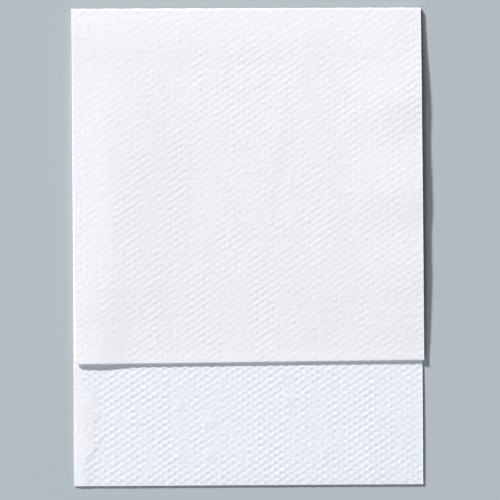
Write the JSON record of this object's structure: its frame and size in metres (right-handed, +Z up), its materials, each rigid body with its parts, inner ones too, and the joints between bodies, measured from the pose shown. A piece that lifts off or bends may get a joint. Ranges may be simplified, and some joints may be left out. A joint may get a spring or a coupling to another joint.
{
  "type": "dispenser napkin",
  "caption": "White embossed paper napkin for a dispenser, folded in half and then across into a flat pack whose front panel stops short of the back and leaves a strip to pull.",
  "frame": {"origin": "bottom centre of the folded napkin's box, on the plane that it lies on", "axes": "+Z up out of the front panel; +Y towards the top crease; +X towards the open edges, with the half fold at -X"},
  "size_m": [0.0888, 0.1214, 0.0015],
  "materials": {
    "paper": "matte, embossed with a fine staggered dot"
  },
  "bodies": {
    "root": {"folded_sheet": "paper"}
  },
  "joints": []
}
